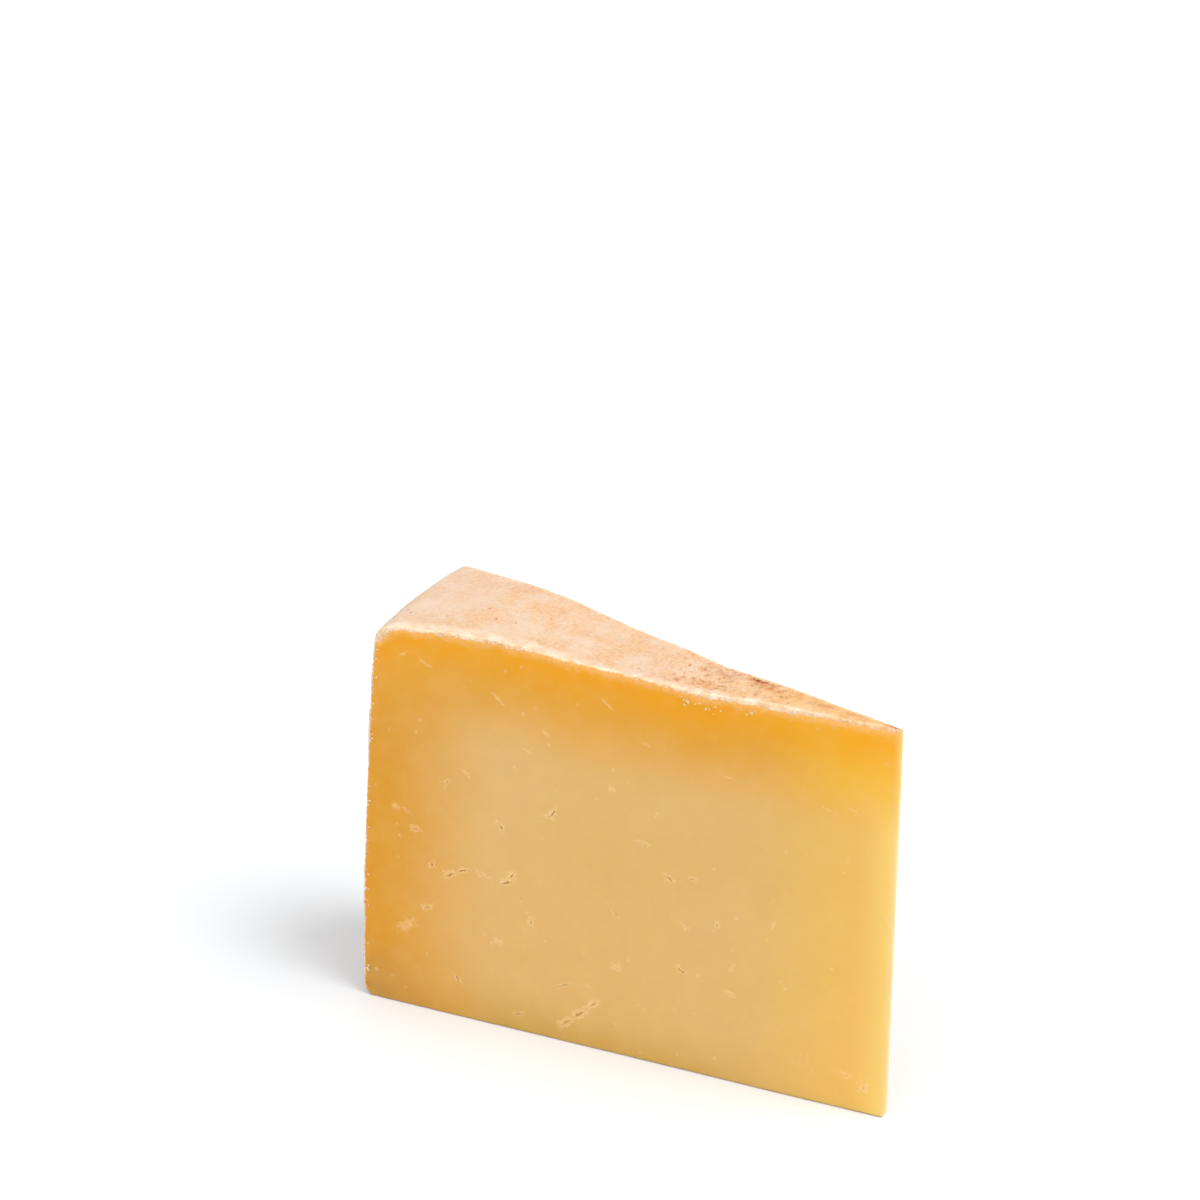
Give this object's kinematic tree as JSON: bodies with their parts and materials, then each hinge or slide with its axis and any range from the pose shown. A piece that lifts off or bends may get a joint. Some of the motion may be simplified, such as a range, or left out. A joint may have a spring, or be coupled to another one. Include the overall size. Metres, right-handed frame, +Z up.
{
  "type": "cheddar wedge",
  "caption": "Thin wedge of natural-rind cheddar standing on its flat base, with smooth upright cut faces and pale rind over the top and rim.",
  "frame": {"origin": "middle of the wedge's bounding box, on the base that it stands on", "axes": "+X towards the thin tip at the wheel's centre, -X towards the rim, +Y across the wedge, +Z up from the base"},
  "size_m": [0.1282, 0.0352, 0.1017],
  "materials": {
    "paste": "waxy translucent cheese paste, deeper orange under the rind and duller towards the base",
    "rind": "dry matt natural rind, pale cream over peach, with fine pits"
  },
  "bodies": {
    "root": {"cheddar_wedge": "paste"}
  },
  "joints": []
}
